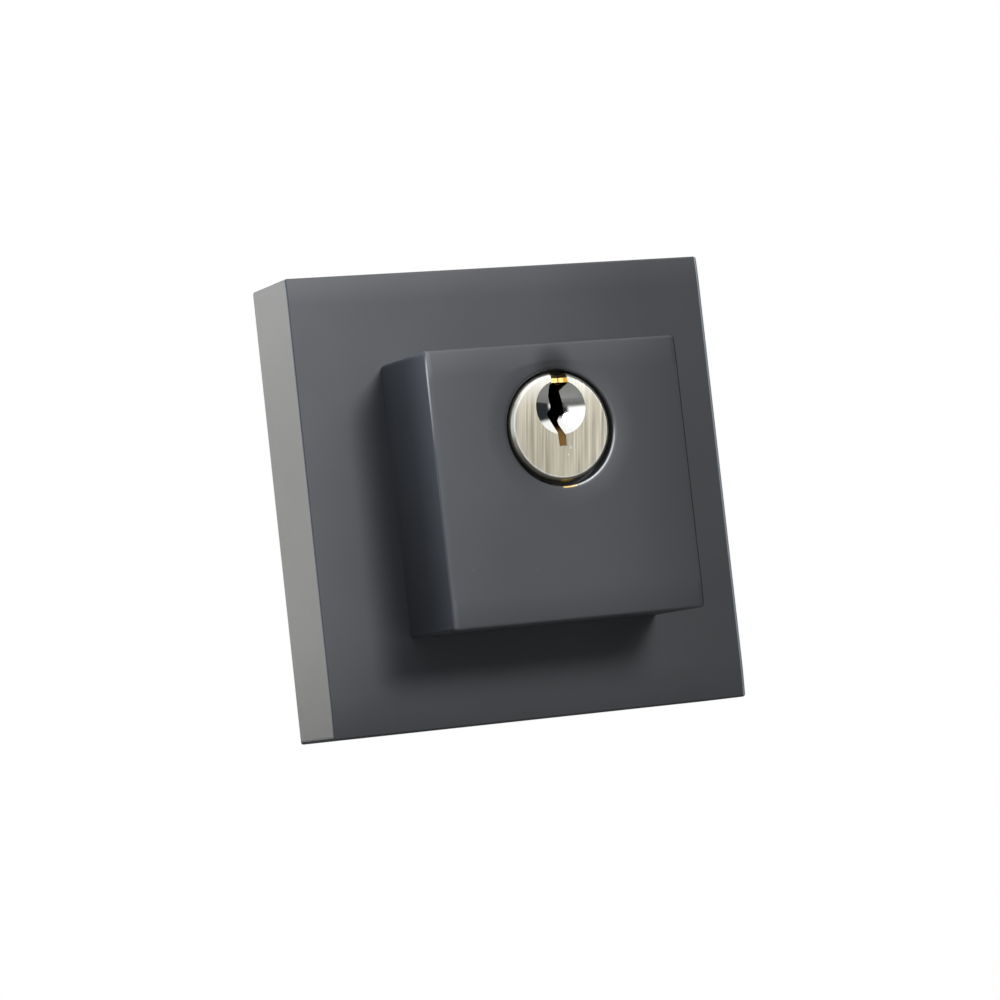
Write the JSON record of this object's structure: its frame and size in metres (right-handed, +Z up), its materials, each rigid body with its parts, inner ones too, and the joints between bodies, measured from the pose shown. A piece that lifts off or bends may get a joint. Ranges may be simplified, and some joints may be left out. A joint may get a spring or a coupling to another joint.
{
  "type": "square deadbolt",
  "caption": "Outside keyed half of a square deadbolt: a thick square rosette carrying a square block with a pin tumbler cylinder and tailpiece.",
  "frame": {"origin": "the point where the plug's axis meets the face of the door, the middle of the bore in the door", "axes": "+Y into the door along the plug's axis, +Z up, +X to the right as seen from outside"},
  "size_m": [0.0666, 0.0814, 0.0667],
  "materials": {
    "satin_graphite": "satin graphite coating with a fine grain",
    "brushed_nickel": "satin nickel on brass, brushed upright",
    "turned_brass": "turned and milled",
    "zinc_steel": "zinc plated",
    "screw_steel": "zinc plated",
    "pin_nickel": "nickel silver, turned",
    "spring_steel": "bright drawn wire",
    "seal_rubber": "closed cell foam cord"
  },
  "bodies": {
    "housing": {"rosette": "satin_graphite", "cylinder_block": "satin_graphite", "weather_seal": "seal_rubber", "mounting_plate": "zinc_steel", "post_left": "zinc_steel", "post_right": "zinc_steel", "block_screws": "screw_steel", "cylinder_shell": "turned_brass", "chamber_cover": "turned_brass", "pin_spring_1": "spring_steel", "pin_spring_2": "spring_steel", "pin_spring_3": "spring_steel", "pin_spring_4": "spring_steel", "pin_spring_5": "spring_steel"},
    "plug": {"plug": "brushed_nickel", "plug_cap": "turned_brass", "tailpiece": "zinc_steel", "cap_spring": "spring_steel"},
    "cap_pin": {"cap_pin": "pin_nickel"},
    "key_pin_1": {"key_pin_1": "pin_nickel"},
    "key_pin_2": {"key_pin_2": "pin_nickel"},
    "key_pin_3": {"key_pin_3": "pin_nickel"},
    "key_pin_4": {"key_pin_4": "pin_nickel"},
    "key_pin_5": {"key_pin_5": "pin_nickel"},
    "driver_pin_1": {"driver_pin_1": "pin_nickel"},
    "driver_pin_2": {"driver_pin_2": "pin_nickel"},
    "driver_pin_3": {"driver_pin_3": "pin_nickel"},
    "driver_pin_4": {"driver_pin_4": "pin_nickel"},
    "driver_pin_5": {"driver_pin_5": "pin_nickel"}
  },
  "joints": [
    {"name": "plug_turn", "type": "hinge", "parent": "housing", "child": "plug", "pos_m": [0, 0, 0], "axis": [0, 1, 0], "range_deg": [-90, 90]},
    {"name": "cap_pin_slide", "type": "slide", "parent": "plug", "child": "cap_pin", "axis": [0, -1, 0], "range_m": [0, 0.0009], "stiffness_N_per_m": 80, "deforming": ["cap_spring"]},
    {"name": "key_pin_1_slide", "type": "slide", "parent": "plug", "child": "key_pin_1", "axis": [0, 0, 1], "range_m": [0, 0.0023]},
    {"name": "key_pin_2_slide", "type": "slide", "parent": "plug", "child": "key_pin_2", "axis": [0, 0, 1], "range_m": [0, 0.0005]},
    {"name": "key_pin_3_slide", "type": "slide", "parent": "plug", "child": "key_pin_3", "axis": [0, 0, 1], "range_m": [0, 0.0029]},
    {"name": "key_pin_4_slide", "type": "slide", "parent": "plug", "child": "key_pin_4", "axis": [0, 0, 1], "range_m": [0, 0.0011]},
    {"name": "key_pin_5_slide", "type": "slide", "parent": "plug", "child": "key_pin_5", "axis": [0, 0, 1], "range_m": [0, 0.0017]},
    {"name": "driver_pin_1_slide", "type": "slide", "parent": "housing", "child": "driver_pin_1", "axis": [0, 0, -1], "range_m": [0, 0.0016], "stiffness_N_per_m": 60, "deforming": ["pin_spring_1"]},
    {"name": "driver_pin_2_slide", "type": "slide", "parent": "housing", "child": "driver_pin_2", "axis": [0, 0, -1], "range_m": [0, 0.0034], "stiffness_N_per_m": 60, "deforming": ["pin_spring_2"]},
    {"name": "driver_pin_3_slide", "type": "slide", "parent": "housing", "child": "driver_pin_3", "axis": [0, 0, -1], "range_m": [0, 0.001], "stiffness_N_per_m": 60, "deforming": ["pin_spring_3"]},
    {"name": "driver_pin_4_slide", "type": "slide", "parent": "housing", "child": "driver_pin_4", "axis": [0, 0, -1], "range_m": [0, 0.0028], "stiffness_N_per_m": 60, "deforming": ["pin_spring_4"]},
    {"name": "driver_pin_5_slide", "type": "slide", "parent": "housing", "child": "driver_pin_5", "axis": [0, 0, -1], "range_m": [0, 0.0022], "stiffness_N_per_m": 60, "deforming": ["pin_spring_5"]}
  ]
}
